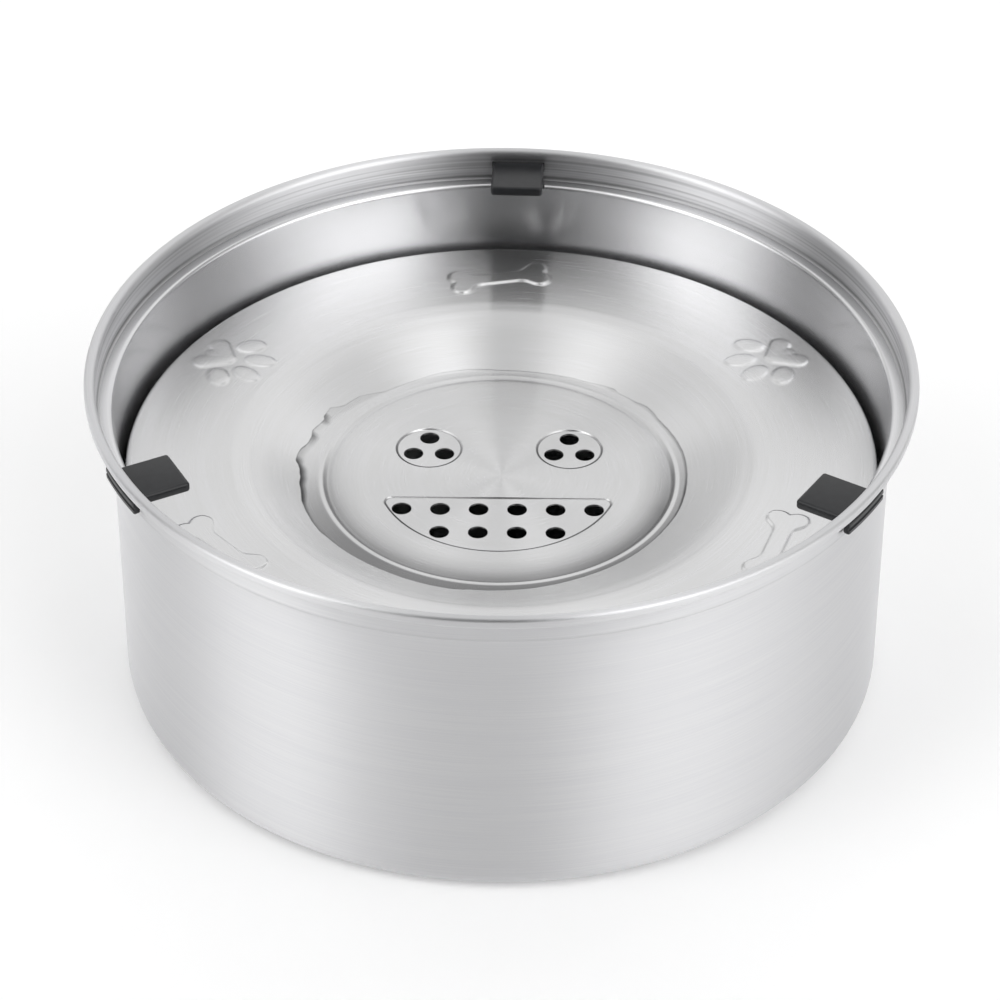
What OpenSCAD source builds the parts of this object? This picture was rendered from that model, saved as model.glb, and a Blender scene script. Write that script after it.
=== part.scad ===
// No-spill pet water bowl: a steel bowl, a hollow steel float with a drinking well, and three rubber clips.
// The origin is the centre of the underside, +Z is up, and the clip behind stands towards +Y.

/* [Bowl] */
// Outer diameter of the rim
rim_d = 240; // [200:1:300]
// Height from the ground to the top of the rim
bowl_h = 102; // [90:1:140]
// Thickness of the steel sheet
sheet = 0.6; // [0.4:0.1:1]
// Outer radius of the bottom corner
corner_r = 5; // [3:0.5:10]

/* [Rim] */
// Diameter of the rolled bead
bead_d = 3.2; // [2.6:0.1:5]
// Angle round the bead's centre at which its curl stops
curl_end = 240; // [220:1:260]
// How far the upright band stands out from the wall
band_step = 4.6; // [3:0.1:8]
// Middle radius of the two bends between the wall and the band
step_bend = 1.9; // [1:0.1:3]
// Steel left in the band under each slot
slot_web = 0.8; // [0.5:0.1:3]

/* [Base ring] */
// How far the floor is dished up inside the foot
dish_h = 1.4; // [1:0.1:4]
// Width of the steel foot between the corner and the dish
foot_w = 8; // [4:0.5:20]
// Width of the rubber ring
ring_w = 8; // [4:0.5:16]
// How far the rubber ring stands below the steel
ring_proud = 0.6; // [0.4:0.1:2]

/* [Float] */
// Gap between the float and the bowl's wall
float_gap = 2.3; // [1.5:0.1:4]
// Depth of the float's top below the rim as it floats
float_drop = 31; // [20:1:36]
// Height of the float
float_h = 25; // [20:1:32]
// Radius of the float's outer edge
edge_r = 2.5; // [1.5:0.1:4]
// Depth of the skirt that overlaps the pan
skirt_h = 6; // [5:0.5:12]
// Radius of the pan's bottom corners
pan_bend = 4; // [2:0.5:8]

/* [Well] */
// Diameter of the ring pressed into the well plate
ring_bead_d = 103.4; // [96:0.2:120]
// Width of that pressed ring
ring_bead_w = 2.4; // [1.5:0.1:4]
// Height of that pressed ring
ring_bead_h = 0.7; // [0.4:0.1:1.5]
// Plate left bare between the pressed ring and the edge of the top
plate_lap = 3.1; // [2:0.1:6]
// Depth of the well floor below the float's top
well_depth = 9; // [6:0.5:12]
// Width of the slope round the well
slope_w = 18; // [12:0.5:24]
// Width of the plate's flange under the slope
flange_w = 6; // [3:0.5:8]

/* [Drain holes] */
// Diameter of a drain hole
hole_d = 5.5; // [4:0.1:6.5]
// Distance between the holes of a row, and between the rows
hole_pitch = 11.2; // [9:0.1:12]
// Number of holes in the upper row
row_count = 6; // [4:2:6]
// Distance of the upper row from the centre
row_y = 16.9; // [14:0.1:18]
// Distance of each round group from the middle line
eye_x = 20.8; // [14:0.1:26]
// Distance of each round group behind the centre
eye_y = 13.2; // [11:0.1:20]
// Radius of the circle on which the three holes of a group lie
eye_r = 5.3; // [4.8:0.1:6.5]
// Steel between the outer holes and the edge of a pressed panel
panel_margin = 1.4; // [0.8:0.1:3]
// Depth of the pressed panels
panel_h = 0.45; // [0.2:0.05:0.5]
// Corner radius of the wide panel
panel_corner = 2.5; // [1:0.1:3]

/* [Raised bones and paws] */
// Height of the raised shapes
motif_h = 0.7; // [0.3:0.1:1.5]
// Length of a bone
bone_l = 32; // [20:0.5:40]
// Diameter of a bone's knobs
knob_d = 7.4; // [5:0.1:9]
// Distance between the two knobs of an end
knob_gap = 7; // [5:0.1:9]
// Width of a bone's shaft
shaft_w = 6; // [4:0.1:8]
// Tilt of a bone from the line of the rim
bone_tilt = 8; // [0:1:20]
// Distance of the front of a paw's pad outside the middle of the flat ring
pad_out = 5.1; // [3:0.1:6]
// Diameter of the rounds that make up a paw's pad
pad_d = 6.6; // [5:0.1:8]
// Length of a paw's pad between its front round and its heel rounds
heel_l = 3.8; // [2:0.1:5]
// Distance between the two heel rounds
heel_w = 6.4; // [5:0.1:8]
// Gap between a paw's pad and its toes
toe_gap = 1.8; // [1:0.1:3]
// Width of a toe
toe_w = 4.8; // [3:0.1:5.4]
// Length of a toe
toe_l = 9; // [6:0.1:10]

/* [Clips] */
// Width of a clip's tab
tab_w = 16; // [10:0.5:24]
// Thickness of a clip's tab
tab_t = 3; // [2:0.1:5]
// How far a tab reaches over the float's edge
tab_reach = 8.6; // [5:0.1:12]
// Corner radius at the inner end of a tab
tab_corner = 1.5; // [0.5:0.1:4]
// Length of a clip's head along the rim
head_w = 20; // [17:0.5:32]
// Thickness of a clip's head, outwards
head_t = 2; // [1.5:0.1:2.2]
// How far a clip's head hangs below its tab
head_drop = 0.8; // [0:0.1:3]
// Angle of the clip behind, counted from the right-hand side
clip_angle = 87.5; // [60:0.5:120]

/* [Clearances] */
// Gap between a clip and the steel round it
clip_clear = 0.3; // [0.2:0.05:0.6]
// Steel between a slot and the bead above it
bead_clear = 0.2; // [0.1:0.05:1]
// Gap at the welded seams of the float, and round the rubber ring
seam_gap = 0.05; // [0.02:0.01:0.2]

/* [Hidden] */
$fn = 96;
clip_count = 3;
motif_count = 3;
first_bone = 90;
toe_angles = [116, 160, 200, 244];
arc_steps = 8;
cut_over = 1;
steel = [0.78, 0.78, 0.79];
rubber = [0.22, 0.23, 0.25];

// The rim, from the bead inwards and down
bead_mid_r = rim_d / 2 - bead_d / 2;
bead_z = bowl_h - bead_d / 2;
band_mid_r = rim_d / 2 - bead_d + sheet / 2;
band_out_r = band_mid_r + sheet / 2;
wall_mid_r = band_mid_r - band_step;
wall_r = wall_mid_r + sheet / 2;
slot_top = bowl_h - bead_d - bead_clear;
tab_top = slot_top - clip_clear;
tab_z = tab_top - tab_t;
slot_z = tab_z - clip_clear;
bend_r = min(step_bend, band_step / 2);
step_top = slot_z - slot_web;
step_z = step_top - 2 * bend_r;

// The base
foot_z = ring_proud;
floor_z = foot_z + dish_h + sheet;
dish_r = wall_r - corner_r - foot_w;

// The float
float_r = wall_r - sheet - float_gap;
float_z = bowl_h - float_drop;
pan_z = float_z - float_h;
plate_z = float_z - well_depth;
ring_bead_r = ring_bead_d / 2;
top_in_r = ring_bead_r + ring_bead_w / 2 + plate_lap;
mouth_r = top_in_r + slope_w;
flange_r = top_in_r + flange_w;
pan_in_r = flange_r + seam_gap;
pan_out_r = float_r - sheet - seam_gap;
motif_r = (mouth_r + float_r) / 2;

// The slope is a sheet of even thickness, so its upright thickness is a little more
slope_angle = atan((well_depth - seam_gap - sheet) / slope_w);
slope_t = sheet / cos(slope_angle);
edge_z = plate_z + seam_gap + slope_t;
function slope_z(r) = edge_z + (float_z - edge_z) * (r - top_in_r) / slope_w;

// The panels hold their holes with an even margin
row_half = (row_count - 1) / 2 * hole_pitch;
low_row_half = row_half - hole_pitch;
low_row_y = row_y + hole_pitch;
hole_reach = max(norm([row_half, row_y]), norm([low_row_half, low_row_y]));
panel_r = hole_reach + hole_d / 2 + panel_margin;
panel_y = row_y - hole_d / 2 - panel_margin;
eye_panel_r = eye_r + hole_d / 2 + panel_margin;

// The clips
tab_in_r = float_r - tab_reach;
head_in_r = band_out_r + clip_clear;
head_z = tab_z - head_drop;
head_sweep = 2 * asin(head_w / 2 / (head_in_r + head_t));

// Quarter of a sheet bent to a middle radius, in one quadrant about a centre
module bend(centre, mid_r, quadrant)
    translate(centre) rotate(90 * quadrant) intersection() {
        difference() {
            circle(mid_r + sheet / 2);
            circle(mid_r - sheet / 2);
        }
        square(mid_r + sheet);
    }

// Points of an arc about a centre, between two angles
function arc(centre, r, from, to) = [
    for (i = [0 : arc_steps])
        let (angle = from + (to - from) * i / arc_steps)
            centre + r * [cos(angle), sin(angle)]
];

// Section of the rolled bead, open on the side of the band
module bead_section()
    translate([bead_mid_r, bead_z]) difference() {
        circle(bead_d / 2);
        circle(bead_d / 2 - sheet);
        polygon(bead_d * [[0, 0], [-1, 0], [-1, -1], [cos(curl_end), sin(curl_end)]]);
    }

// Section of the bowl from its middle to its rim
module bowl_section() {
    translate([0, floor_z - sheet]) square([dish_r, sheet]);
    translate([dish_r, foot_z]) square([sheet, dish_h + sheet]);
    translate([dish_r, foot_z]) square([wall_r - corner_r - dish_r, sheet]);
    bend([wall_r - corner_r, foot_z + corner_r], corner_r - sheet / 2, 3);
    translate([wall_r - sheet, foot_z + corner_r]) square([sheet, step_z - foot_z - corner_r]);
    bend([wall_mid_r + bend_r, step_z], bend_r, 1);
    translate([wall_mid_r + bend_r, step_z + bend_r - sheet / 2]) square([band_step - 2 * bend_r, sheet]);
    bend([band_mid_r - bend_r, step_top], bend_r, 3);
    translate([band_mid_r - sheet / 2, step_top]) square([sheet, bead_z - step_top]);
    bead_section();
}

module bowl()
    color(steel) difference() {
        rotate_extrude() bowl_section();
        for (i = [0 : clip_count - 1])
            rotate(clip_angle + i * 360 / clip_count)
                translate([band_mid_r - sheet - cut_over, -tab_w / 2 - clip_clear, slot_z])
                    cube([sheet + 1.5 * cut_over, tab_w + 2 * clip_clear, slot_top - slot_z]);
    }

module base_ring()
    color(rubber) rotate_extrude()
        translate([dish_r - seam_gap - ring_w, 0]) square([ring_w, ring_proud + dish_h]);

// Section of the float's upper pressing: slope, flat ring, rounded edge and skirt
module float_top_section() {
    polygon([
        [top_in_r, edge_z],
        [mouth_r, float_z],
        [mouth_r, float_z - slope_t],
        [top_in_r, edge_z - slope_t]
    ]);
    translate([mouth_r, float_z - sheet]) square([float_r - edge_r - mouth_r, sheet]);
    bend([float_r - edge_r, float_z - edge_r], edge_r - sheet / 2, 0);
    translate([float_r - sheet, float_z - skirt_h]) square([sheet, skirt_h - edge_r]);
}

// A bone that lies along the rim
module bone() {
    knob_y = bone_l / 2 - knob_d / 2;
    square([shaft_w, 2 * knob_y], center = true);
    for (x = [-knob_gap / 2, knob_gap / 2], y = [-knob_y, knob_y]) translate([x, y]) circle(knob_d / 2);
}

// A paw's pad: a front round and two heel rounds with a notch between them
module pad(front) {
    r = pad_d / 2;
    spread = atan2(heel_w / 2, heel_l);
    notch = atan2(heel_w / 2, sqrt(max(0, r ^ 2 - (heel_w / 2) ^ 2)));
    polygon(concat(
        arc(front + [heel_l, -heel_w / 2], r, -spread - 90, notch),
        arc(front + [heel_l, heel_w / 2], r, -notch, spread + 90),
        arc(front, r, spread + 90, 270 - spread)
    ));
}

// A toe with round ends, from one point along an angle
module toe(near, angle) {
    r = toe_w / 2;
    far = near + (toe_l - toe_w) * [cos(angle), sin(angle)];
    polygon(concat(arc(near, r, angle + 90, angle + 270), arc(far, r, angle - 90, angle + 90)));
}

// A paw with its heel towards the rim and its four toes towards the well
module paw() {
    front = [pad_out, 0];
    toe_reach = pad_d / 2 + toe_gap + toe_w / 2;
    pad(front);
    for (angle = toe_angles) toe(front + toe_reach * [cos(angle), sin(angle)], angle);
}

// A flat outline raised from the float's flat ring, on the right-hand side
module raise_motif()
    translate([motif_r, 0, float_z - sheet / 2]) linear_extrude(sheet / 2 + motif_h) children();

module float_top()
    color(steel) union() {
        rotate_extrude() float_top_section();
        for (i = [0 : motif_count - 1]) {
            rotate(first_bone + i * 360 / motif_count) raise_motif() rotate(bone_tilt) bone();
            rotate(first_bone + (i + 0.5) * 360 / motif_count) raise_motif() paw();
        }
    }

// Section of the float's lower pressing, a trough that is open at the top
module float_pan_section() {
    wall_top = float_z - edge_r;
    inner_top = slope_z(pan_in_r) - slope_t - seam_gap;
    translate([pan_out_r - sheet, pan_z + pan_bend]) square([sheet, wall_top - pan_z - pan_bend]);
    bend([pan_out_r - pan_bend, pan_z + pan_bend], pan_bend - sheet / 2, 3);
    translate([pan_in_r + pan_bend, pan_z]) square([pan_out_r - pan_in_r - 2 * pan_bend, sheet]);
    bend([pan_in_r + pan_bend, pan_z + pan_bend], pan_bend - sheet / 2, 2);
    translate([pan_in_r, pan_z + pan_bend]) square([sheet, inner_top - pan_z - pan_bend]);
}

module float_pan() color(steel) rotate_extrude() float_pan_section();

// The wide panel: a circle cut by a straight edge, with rounded corners
module wide_panel(grow) {
    r = panel_r + grow;
    y = panel_y - grow;
    q = panel_corner + grow;
    corner_x = sqrt((r - q) ^ 2 - (y + q) ^ 2);
    corner = [corner_x, -y - q];
    mirrored = [-corner_x, -y - q];
    intersection() {
        circle(r);
        polygon([[corner_x, -y], corner, 2 * corner, [0, -3 * r], 2 * mirrored, mirrored, [-corner_x, -y]]);
    }
    for (p = [corner, mirrored]) translate(p) circle(q);
}

// All three panels
module panels(grow) {
    wide_panel(grow);
    for (side = [-1, 1]) translate([side * eye_x, eye_y]) circle(eye_panel_r + grow);
}

// Centres of all drain holes
hole_places = [
    for (i = [0 : row_count - 1]) [i * hole_pitch - row_half, -row_y],
    for (i = [1 : row_count - 2]) [i * hole_pitch - row_half, -low_row_y],
    for (side = [-1, 1], a = [90, 210, 330]) [side * eye_x + eye_r * cos(a), eye_y + eye_r * sin(a)]
];

module well_plate()
    color(steel) difference() {
        union() {
            translate([0, 0, plate_z - sheet]) linear_extrude(sheet) difference() {
                circle(flange_r);
                panels(0);
            }
            translate([0, 0, plate_z - panel_h - sheet]) linear_extrude(sheet) panels(sheet);
            rotate_extrude() intersection() {
                translate([ring_bead_r, plate_z]) circle(ring_bead_w / 2);
                translate([ring_bead_r - ring_bead_w, plate_z - sheet])
                    square([2 * ring_bead_w, sheet + ring_bead_h]);
            }
        }
        for (p = hole_places)
            translate([p.x, p.y, plate_z - panel_h - sheet - cut_over])
                cylinder(d = hole_d, h = sheet + panel_h + 2 * cut_over);
    }

// A clip on the right-hand side: a flat tab through the slot and a curved head outside the band
module clip()
    color(rubber) union() {
        translate([0, 0, tab_z]) linear_extrude(tab_t) {
            translate([tab_in_r + tab_corner, -tab_w / 2])
                square([head_in_r + head_t / 2 - tab_in_r - tab_corner, tab_w]);
            translate([tab_in_r, tab_corner - tab_w / 2]) square([2 * tab_corner, tab_w - 2 * tab_corner]);
            for (side = [-1, 1])
                translate([tab_in_r + tab_corner, side * (tab_w / 2 - tab_corner)]) circle(tab_corner);
        }
        rotate(-head_sweep / 2) rotate_extrude(angle = head_sweep)
            translate([head_in_r, head_z]) square([head_t, tab_top - head_z]);
    }

module clip_back() rotate(clip_angle) clip();
module clip_left() rotate(clip_angle + 360 / clip_count) clip();
module clip_right() rotate(clip_angle + 2 * 360 / clip_count) clip();

bowl();
base_ring();
float_top();
float_pan();
well_plate();
clip_back();
clip_left();
clip_right();
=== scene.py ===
"""Looks of a round no-spill water bowl: brushed steel bowl, spun steel float, rubber clips and base ring."""

import math

import bmesh
import bpy
from mathutils import Matrix, Vector, noise


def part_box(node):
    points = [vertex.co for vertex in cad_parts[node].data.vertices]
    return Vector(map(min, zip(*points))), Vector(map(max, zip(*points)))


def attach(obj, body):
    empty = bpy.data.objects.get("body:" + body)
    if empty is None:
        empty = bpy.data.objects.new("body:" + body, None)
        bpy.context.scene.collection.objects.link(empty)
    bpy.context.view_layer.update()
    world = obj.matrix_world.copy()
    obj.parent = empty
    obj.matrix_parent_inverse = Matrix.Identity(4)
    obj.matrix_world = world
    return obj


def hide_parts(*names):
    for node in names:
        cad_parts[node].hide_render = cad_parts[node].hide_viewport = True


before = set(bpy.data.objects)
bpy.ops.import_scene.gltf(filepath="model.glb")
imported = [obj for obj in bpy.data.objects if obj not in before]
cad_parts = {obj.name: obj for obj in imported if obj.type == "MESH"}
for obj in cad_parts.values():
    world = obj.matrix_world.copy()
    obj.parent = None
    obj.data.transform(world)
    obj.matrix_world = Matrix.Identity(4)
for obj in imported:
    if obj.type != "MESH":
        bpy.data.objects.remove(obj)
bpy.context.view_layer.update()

MM = 0.001

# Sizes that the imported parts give, in millimetres


def size_of(node):
    """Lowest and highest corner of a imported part."""
    low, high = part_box(node)
    return low / MM, high / MM


bowl_low, bowl_high = size_of("bowl")
ring_low, ring_high = size_of("base_ring")
_, top_high = size_of("float_top")
pan_low, pan_high = size_of("float_pan")
_, plate_high = size_of("well_plate")
clip_low, clip_high = size_of("clip_back")

rim_r = bowl_high.x
rim_z = bowl_high.z
foot_z = bowl_low.z

# Sheet steel and the rim
SHEET = 0.6
BEAD_D = 3.2
BEAD_BEND = 0.65
BEAD_BEND_IN = 1.2
BEAD_TURN_IN = 1.3
BAND_STEP = 4.6
STEP_BEND = 1.9
LEDGE_BEND = 1.1
CORNER_R = 5.0
DISH_H = 1.4
FOOT_W = 8.0
SLOT_CLEAR = 0.3
SLOT_WEB = 0.8
RING_ROUND = 0.4
RING_TREAD = 0.5
SPIN_STEPS = 360
WALL_ROWS = 10
BAND_ROW = 0.45
FLOOR_RINGS = (0.0, 20.0, 45.0, 70.0)

bead_r = BEAD_D / 2 - SHEET / 2
bead_mid = (rim_r - BEAD_D / 2, rim_z - BEAD_D / 2)
band_r = bead_mid[0] - bead_r
wall_r = band_r - BAND_STEP
foot_mid_z = foot_z + SHEET / 2
floor_mid_z = foot_mid_z + DISH_H

# Clips
CLIP_ANGLES = {"clip_back": 87.5, "clip_left": 207.5, "clip_right": 327.5}
TAB_W = 16.0
TAB_T = 3.0
TAB_REACH = 8.6
TAB_CORNER = 1.0
TAB_EDGE = 0.9
HEAD_W = 20.0
HEAD_T = 2.0
HEAD_ROUND = 0.5
HEAD_GROOVE = 0.55
HEAD_ENDS = ((0.0, 0.78), (0.3, 0.92), (1.0, 1.0))
SLOT_STEPS = 8

tab_top = clip_high.z
tab_z = tab_top - TAB_T
head_z = clip_low.z
slot_z = tab_z - SLOT_CLEAR
slot_top = tab_top + SLOT_CLEAR
step_top = slot_z - SLOT_WEB
ledge_z = step_top - STEP_BEND
head_r = band_r + SHEET / 2 + SLOT_CLEAR

# Float
MOTIF_H = 0.7
EDGE_R = 1.5
SKIRT_H = 6.0
PAN_BEND = 4.0
PAN_LIP = 2.6
SEAM_GAP = 0.05
MOUTH_R = 74.0
MOUTH_BLEND = 5.0
MOUTH_DROP = 0.5

float_r = top_high.x
float_z = top_high.z - MOTIF_H
motif_r = (MOUTH_R + float_r) / 2
tab_in_r = float_r - TAB_REACH
pan_r = pan_high.x - SHEET / 2
pan_z = pan_low.z + SHEET / 2
plate_r = plate_high.x
pan_in_r = plate_r + SHEET / 2 + SEAM_GAP

# Uneven inner edge of the float's top
LIP_RISE = 0.9
LIP_LAP = 0.6
# Width of the painted shade along the top's cut inner edge
LIP_SHADE_W = 0.15

# Well plate
RING_R = 51.7
RING_GROW = 0.1
RING_SHIFT = 1.0
RING_SHIFT_WAY = 225.0
RING_H = 0.7
RISER_IN = 1.4
RISER_OUT = -0.25
CREST_H = 0.66
MARGIN_DIP = 0.1
GROOVE_W = 1.6
GROOVE_H = 0.05
HOLE_D = 5.8
HOLE_PITCH = 11.2
ROW_COUNT = 6
ROW_Y = 16.9
EYE_X = 20.8
EYE_Y = 13.2
EYE_R = 5.3
EYE_MARGIN = 1.4
MOUTH_PANEL_R = 35.15
MOUTH_PANEL_Y = 2.0
MOUTH_PANEL_TOP = 11.6
PANEL_DEPTH = 0.3
# Crease round a panel: distance outside its outline, height and strength of the shade painted in it, and how that
# painted shade turns with its way, so some sides are painted darker than others
CREASE = ((-0.45, -0.3, 0.0), (-0.34, -0.3, 0.5), (-0.2, -0.4, 0.95), (-0.05, -0.5, 1.0), (0.1, -0.44, 0.95),
          (0.25, -0.22, 0.6), (0.38, -0.05, 0.2), (0.5, 0.0, 0.0), (0.8, 0.0, 0.0))
CREASE_SHADE = (0.6, 0.45, -0.08)
PANEL_CORNER = 2.2
FIELD_R = 38.6
FIELD_RISE = 0.2
FIELD_OUT = 0.5
MARGIN_ROWS = 16
LAP_ROWS = 4
PLATE_STEPS = 360
PANELS_AT = (-0.8, 0.4)
PANELS_TURN = -0.7

plate_z = plate_high.z - RING_H
panels_set = Matrix.Translation((PANELS_AT[0] * MM, PANELS_AT[1] * MM, 0)) @ Matrix.Rotation(
    math.radians(PANELS_TURN), 4, "Z")

# Camera, as fitted to the photograph
IMAGE_PX = 1000
FOCAL_PX = 3800
SENSOR_MM = 36.0
VIEW_ELEVATION = 36.413
CAMERA_AT = (0.0, -904.14, 719.84)
CAMERA_SHIFT = -0.0013
CAMERA_ROLL = 0.14


# Materials


def linear(hex_colour):
    """Scene-linear colour of an sRGB hex value."""
    channels = [int(hex_colour[i:i + 2], 16) / 255 for i in (1, 3, 5)]
    return (*[c / 12.92 if c <= 0.04045 else ((c + 0.055) / 1.055) ** 2.4 for c in channels], 1.0)


def add(tree, kind, links=None, **settings):
    """Adds a node. links gives its inputs a value or another node's output, and settings are its own."""
    node = tree.nodes.new(kind)
    for name, value in settings.items():
        setattr(node, name, value)
    for socket, source in (links or {}).items():
        if isinstance(source, bpy.types.NodeSocket):
            tree.links.new(source, node.inputs[socket])
        else:
            node.inputs[socket].default_value = source
    return node


def new_material(name):
    """An empty node material and its tree."""
    material = bpy.data.materials.new(name)
    material.use_nodes = True
    material.node_tree.nodes.clear()
    return material, material.node_tree


# Near-black colour of the painted shade on the steel
PAINTED_SHADE_COLOUR = "#262628"
FINE_STREAKS = 3.0
BROAD_STREAKS = 1.5
BROAD_SPACING = 12


def brushed_steel(name, light, dark, smooth, rough, line_mm, relief_share):
    """Stainless steel brushed round the axis: fine lines that stretch every highlight across them, darkened towards a
    near-black colour where shade is painted.
    """
    material, tree = new_material(name)
    place = add(tree, "ShaderNodeTexCoord").outputs["Object"]
    flat = add(tree, "ShaderNodeVectorMath", {0: place, 1: (1, 1, 0)}, operation="MULTIPLY").outputs[0]
    radius = add(tree, "ShaderNodeVectorMath", {0: flat}, operation="LENGTH").outputs["Value"]
    heading = add(tree, "ShaderNodeVectorMath", {0: flat}, operation="NORMALIZE").outputs[0]
    height = add(tree, "ShaderNodeSeparateXYZ", {0: place}).outputs["Z"]
    across = add(tree, "ShaderNodeMath", {0: radius, 1: height}).outputs[0]

    def lines(streaks, spacing_mm, detail):
        """Noise stretched along the brushing: so many streaks to a radian, and a spacing across them."""
        step = add(tree, "ShaderNodeMath", {0: across, 1: 1 / (spacing_mm * MM)}, operation="MULTIPLY").outputs[0]
        lift = add(tree, "ShaderNodeCombineXYZ", {"Z": step}).outputs[0]
        spread = add(tree, "ShaderNodeVectorMath", {0: heading, 1: (streaks,) * 3, 2: lift},
                     operation="MULTIPLY_ADD").outputs[0]
        return add(tree, "ShaderNodeTexNoise", {"Vector": spread, "Scale": 1.0, "Detail": detail}).outputs[0]

    fine = lines(FINE_STREAKS, line_mm, 3.0)
    broad = lines(BROAD_STREAKS, BROAD_SPACING * line_mm, 1.0)
    both = add(tree, "ShaderNodeMath", {0: fine, 1: 3.0, 2: broad}, operation="MULTIPLY_ADD").outputs[0]
    tone = add(tree, "ShaderNodeMapRange", {"Value": both, "From Min": 1.5, "From Max": 2.5}).outputs[0]
    bare = add(tree, "ShaderNodeMix", {"Factor": tone, "A": linear(dark), "B": linear(light)}, data_type="RGBA")
    # Painted shade: a point attribute mixes the steel towards a near-black colour in creases, corners, under the top's
    # edge and where dark reflections would show
    painted_shade = add(tree, "ShaderNodeAttribute", attribute_name="painted_shade").outputs["Fac"]
    mixed = add(tree, "ShaderNodeMix", {"Factor": painted_shade, "A": bare.outputs["Result"], "B": linear(PAINTED_SHADE_COLOUR)},
                data_type="RGBA").outputs["Result"]
    sheen = add(tree, "ShaderNodeMapRange", {"Value": fine, "From Min": 0.25, "From Max": 0.75,
                                             "To Min": smooth, "To Max": rough}).outputs[0]
    bump = add(tree, "ShaderNodeBump", {"Strength": relief_share, "Distance": 0.1 * MM, "Height": fine}).outputs[0]
    tangent = add(tree, "ShaderNodeTangent", direction_type="RADIAL", axis="Z").outputs[0]
    surface = add(tree, "ShaderNodeBsdfPrincipled", {
        "Base Color": mixed, "Metallic": 1.0, "Roughness": sheen, "Normal": bump, "Tangent": tangent,
        "Anisotropic": 1.0, "Anisotropic Rotation": 0.25,
    })
    add(tree, "ShaderNodeOutputMaterial", {"Surface": surface.outputs[0]})
    return material


def moulded_rubber(name, light, dark, grain_mm):
    """Moulded rubber: matt, nearly black, with the fine grain of its mould and a soft sheen on rounded edges."""
    material, tree = new_material(name)
    place = add(tree, "ShaderNodeTexCoord").outputs["Object"]
    grain = add(tree, "ShaderNodeTexNoise", {"Vector": place, "Scale": 1 / (grain_mm * MM), "Detail": 3.0}).outputs[0]
    cloud = add(tree, "ShaderNodeTexNoise", {"Vector": place, "Scale": 0.1 / (grain_mm * MM), "Detail": 2.0}).outputs[0]
    colour = add(tree, "ShaderNodeValToRGB", {0: cloud})
    colour.color_ramp.elements[0].position = 0.35
    colour.color_ramp.elements[0].color = linear(dark)
    colour.color_ramp.elements[1].position = 0.7
    colour.color_ramp.elements[1].color = linear(light)
    gloss = add(tree, "ShaderNodeMapRange", {"Value": grain, "To Min": 0.3, "To Max": 0.44}).outputs[0]
    bump = add(tree, "ShaderNodeBump", {"Strength": 0.25, "Distance": 0.05 * MM, "Height": grain}).outputs[0]
    surface = add(tree, "ShaderNodeBsdfPrincipled", {
        "Base Color": colour.outputs[0], "Roughness": gloss, "Normal": bump, "IOR": 1.52, "Specular IOR Level": 0.45,
    })
    add(tree, "ShaderNodeOutputMaterial", {"Surface": surface.outputs[0]})
    return material


# The real brushing and mould grain are finer: these spacings, in millimetres, are as fine as shows in the render.
# The outside is brushed most, so its highlights run together into broad upright bands. The inside and the float keep
# clearer reflections, and the rolled rim is nearly polished, with narrow bright lines. Rubber is black and matt.
bowl_steel = brushed_steel("brushed_stainless_outside", "#dfdfe0", "#dadadc", 0.35, 0.36, 0.35, 0.02)
rim_steel = brushed_steel("rolled_stainless_rim", "#f0f0f1", "#ececed", 0.155, 0.165, 0.35, 0.02)
inside_steel = brushed_steel("polished_stainless_inside", "#dddddf", "#dadadb", 0.2, 0.21, 0.35, 0.02)
float_steel = brushed_steel("spun_stainless_float", "#e1e1e2", "#dddddd", 0.265, 0.275, 0.3, 0.006)
clip_rubber = moulded_rubber("moulded_rubber_clip", "#1b1c1f", "#141518", 0.25)
ring_rubber = moulded_rubber("moulded_rubber_ring", "#242427", "#1a1a1c", 0.3)


# Mesh tools


def arc(centre, radius, start, end, steps):
    """Points of an arc, with its angles in degrees."""
    angles = [math.radians(start + (end - start) * i / steps) for i in range(steps + 1)]
    return [(centre[0] + radius * math.cos(a), centre[1] + radius * math.sin(a)) for a in angles]


def ramp(t):
    """Smooth step from 0 to 1."""
    t = min(1.0, max(0.0, t))
    return t * t * (3 - 2 * t)


def polar(radius, angle, z):
    """A point in metres from a radius and height in millimetres and an angle in radians."""
    return Vector((radius * math.cos(angle), radius * math.sin(angle), z)) * MM


def along(stops, x):
    """Value at x on a line through (x, value) stops."""
    for (x0, low), (x1, high) in zip(stops, stops[1:]):
        if x <= x1:
            return low + (high - low) * (x - x0) / (x1 - x0)
    return stops[-1][1]


def paint_shade(piece, strength):
    """Writes how strongly painted shade darkens each point, from its radius, angle and height."""
    marks = piece.data.attributes.new("painted_shade", "FLOAT", "POINT")
    for point, mark in zip(piece.data.vertices, marks.data):
        place = point.co / MM
        mark.value = max(0.0, strength(place.xy.length, math.atan2(place.y, place.x), place.z))


def mesh_object(name, points, faces=(), edges=()):
    """A mesh object at the origin."""
    mesh = bpy.data.meshes.new(name)
    mesh.from_pydata(points, edges, faces)
    piece = bpy.data.objects.new(name, mesh)
    bpy.context.scene.collection.objects.link(piece)
    return piece


def settle(piece):
    """Turns a piece's modifiers into its plain mesh."""
    graph = bpy.context.evaluated_depsgraph_get()
    solid = bpy.data.meshes.new_from_object(piece.evaluated_get(graph))
    piece.modifiers.clear()
    old = piece.data
    piece.data = solid
    bpy.data.meshes.remove(old)
    solid.name = piece.name
    return piece


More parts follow.
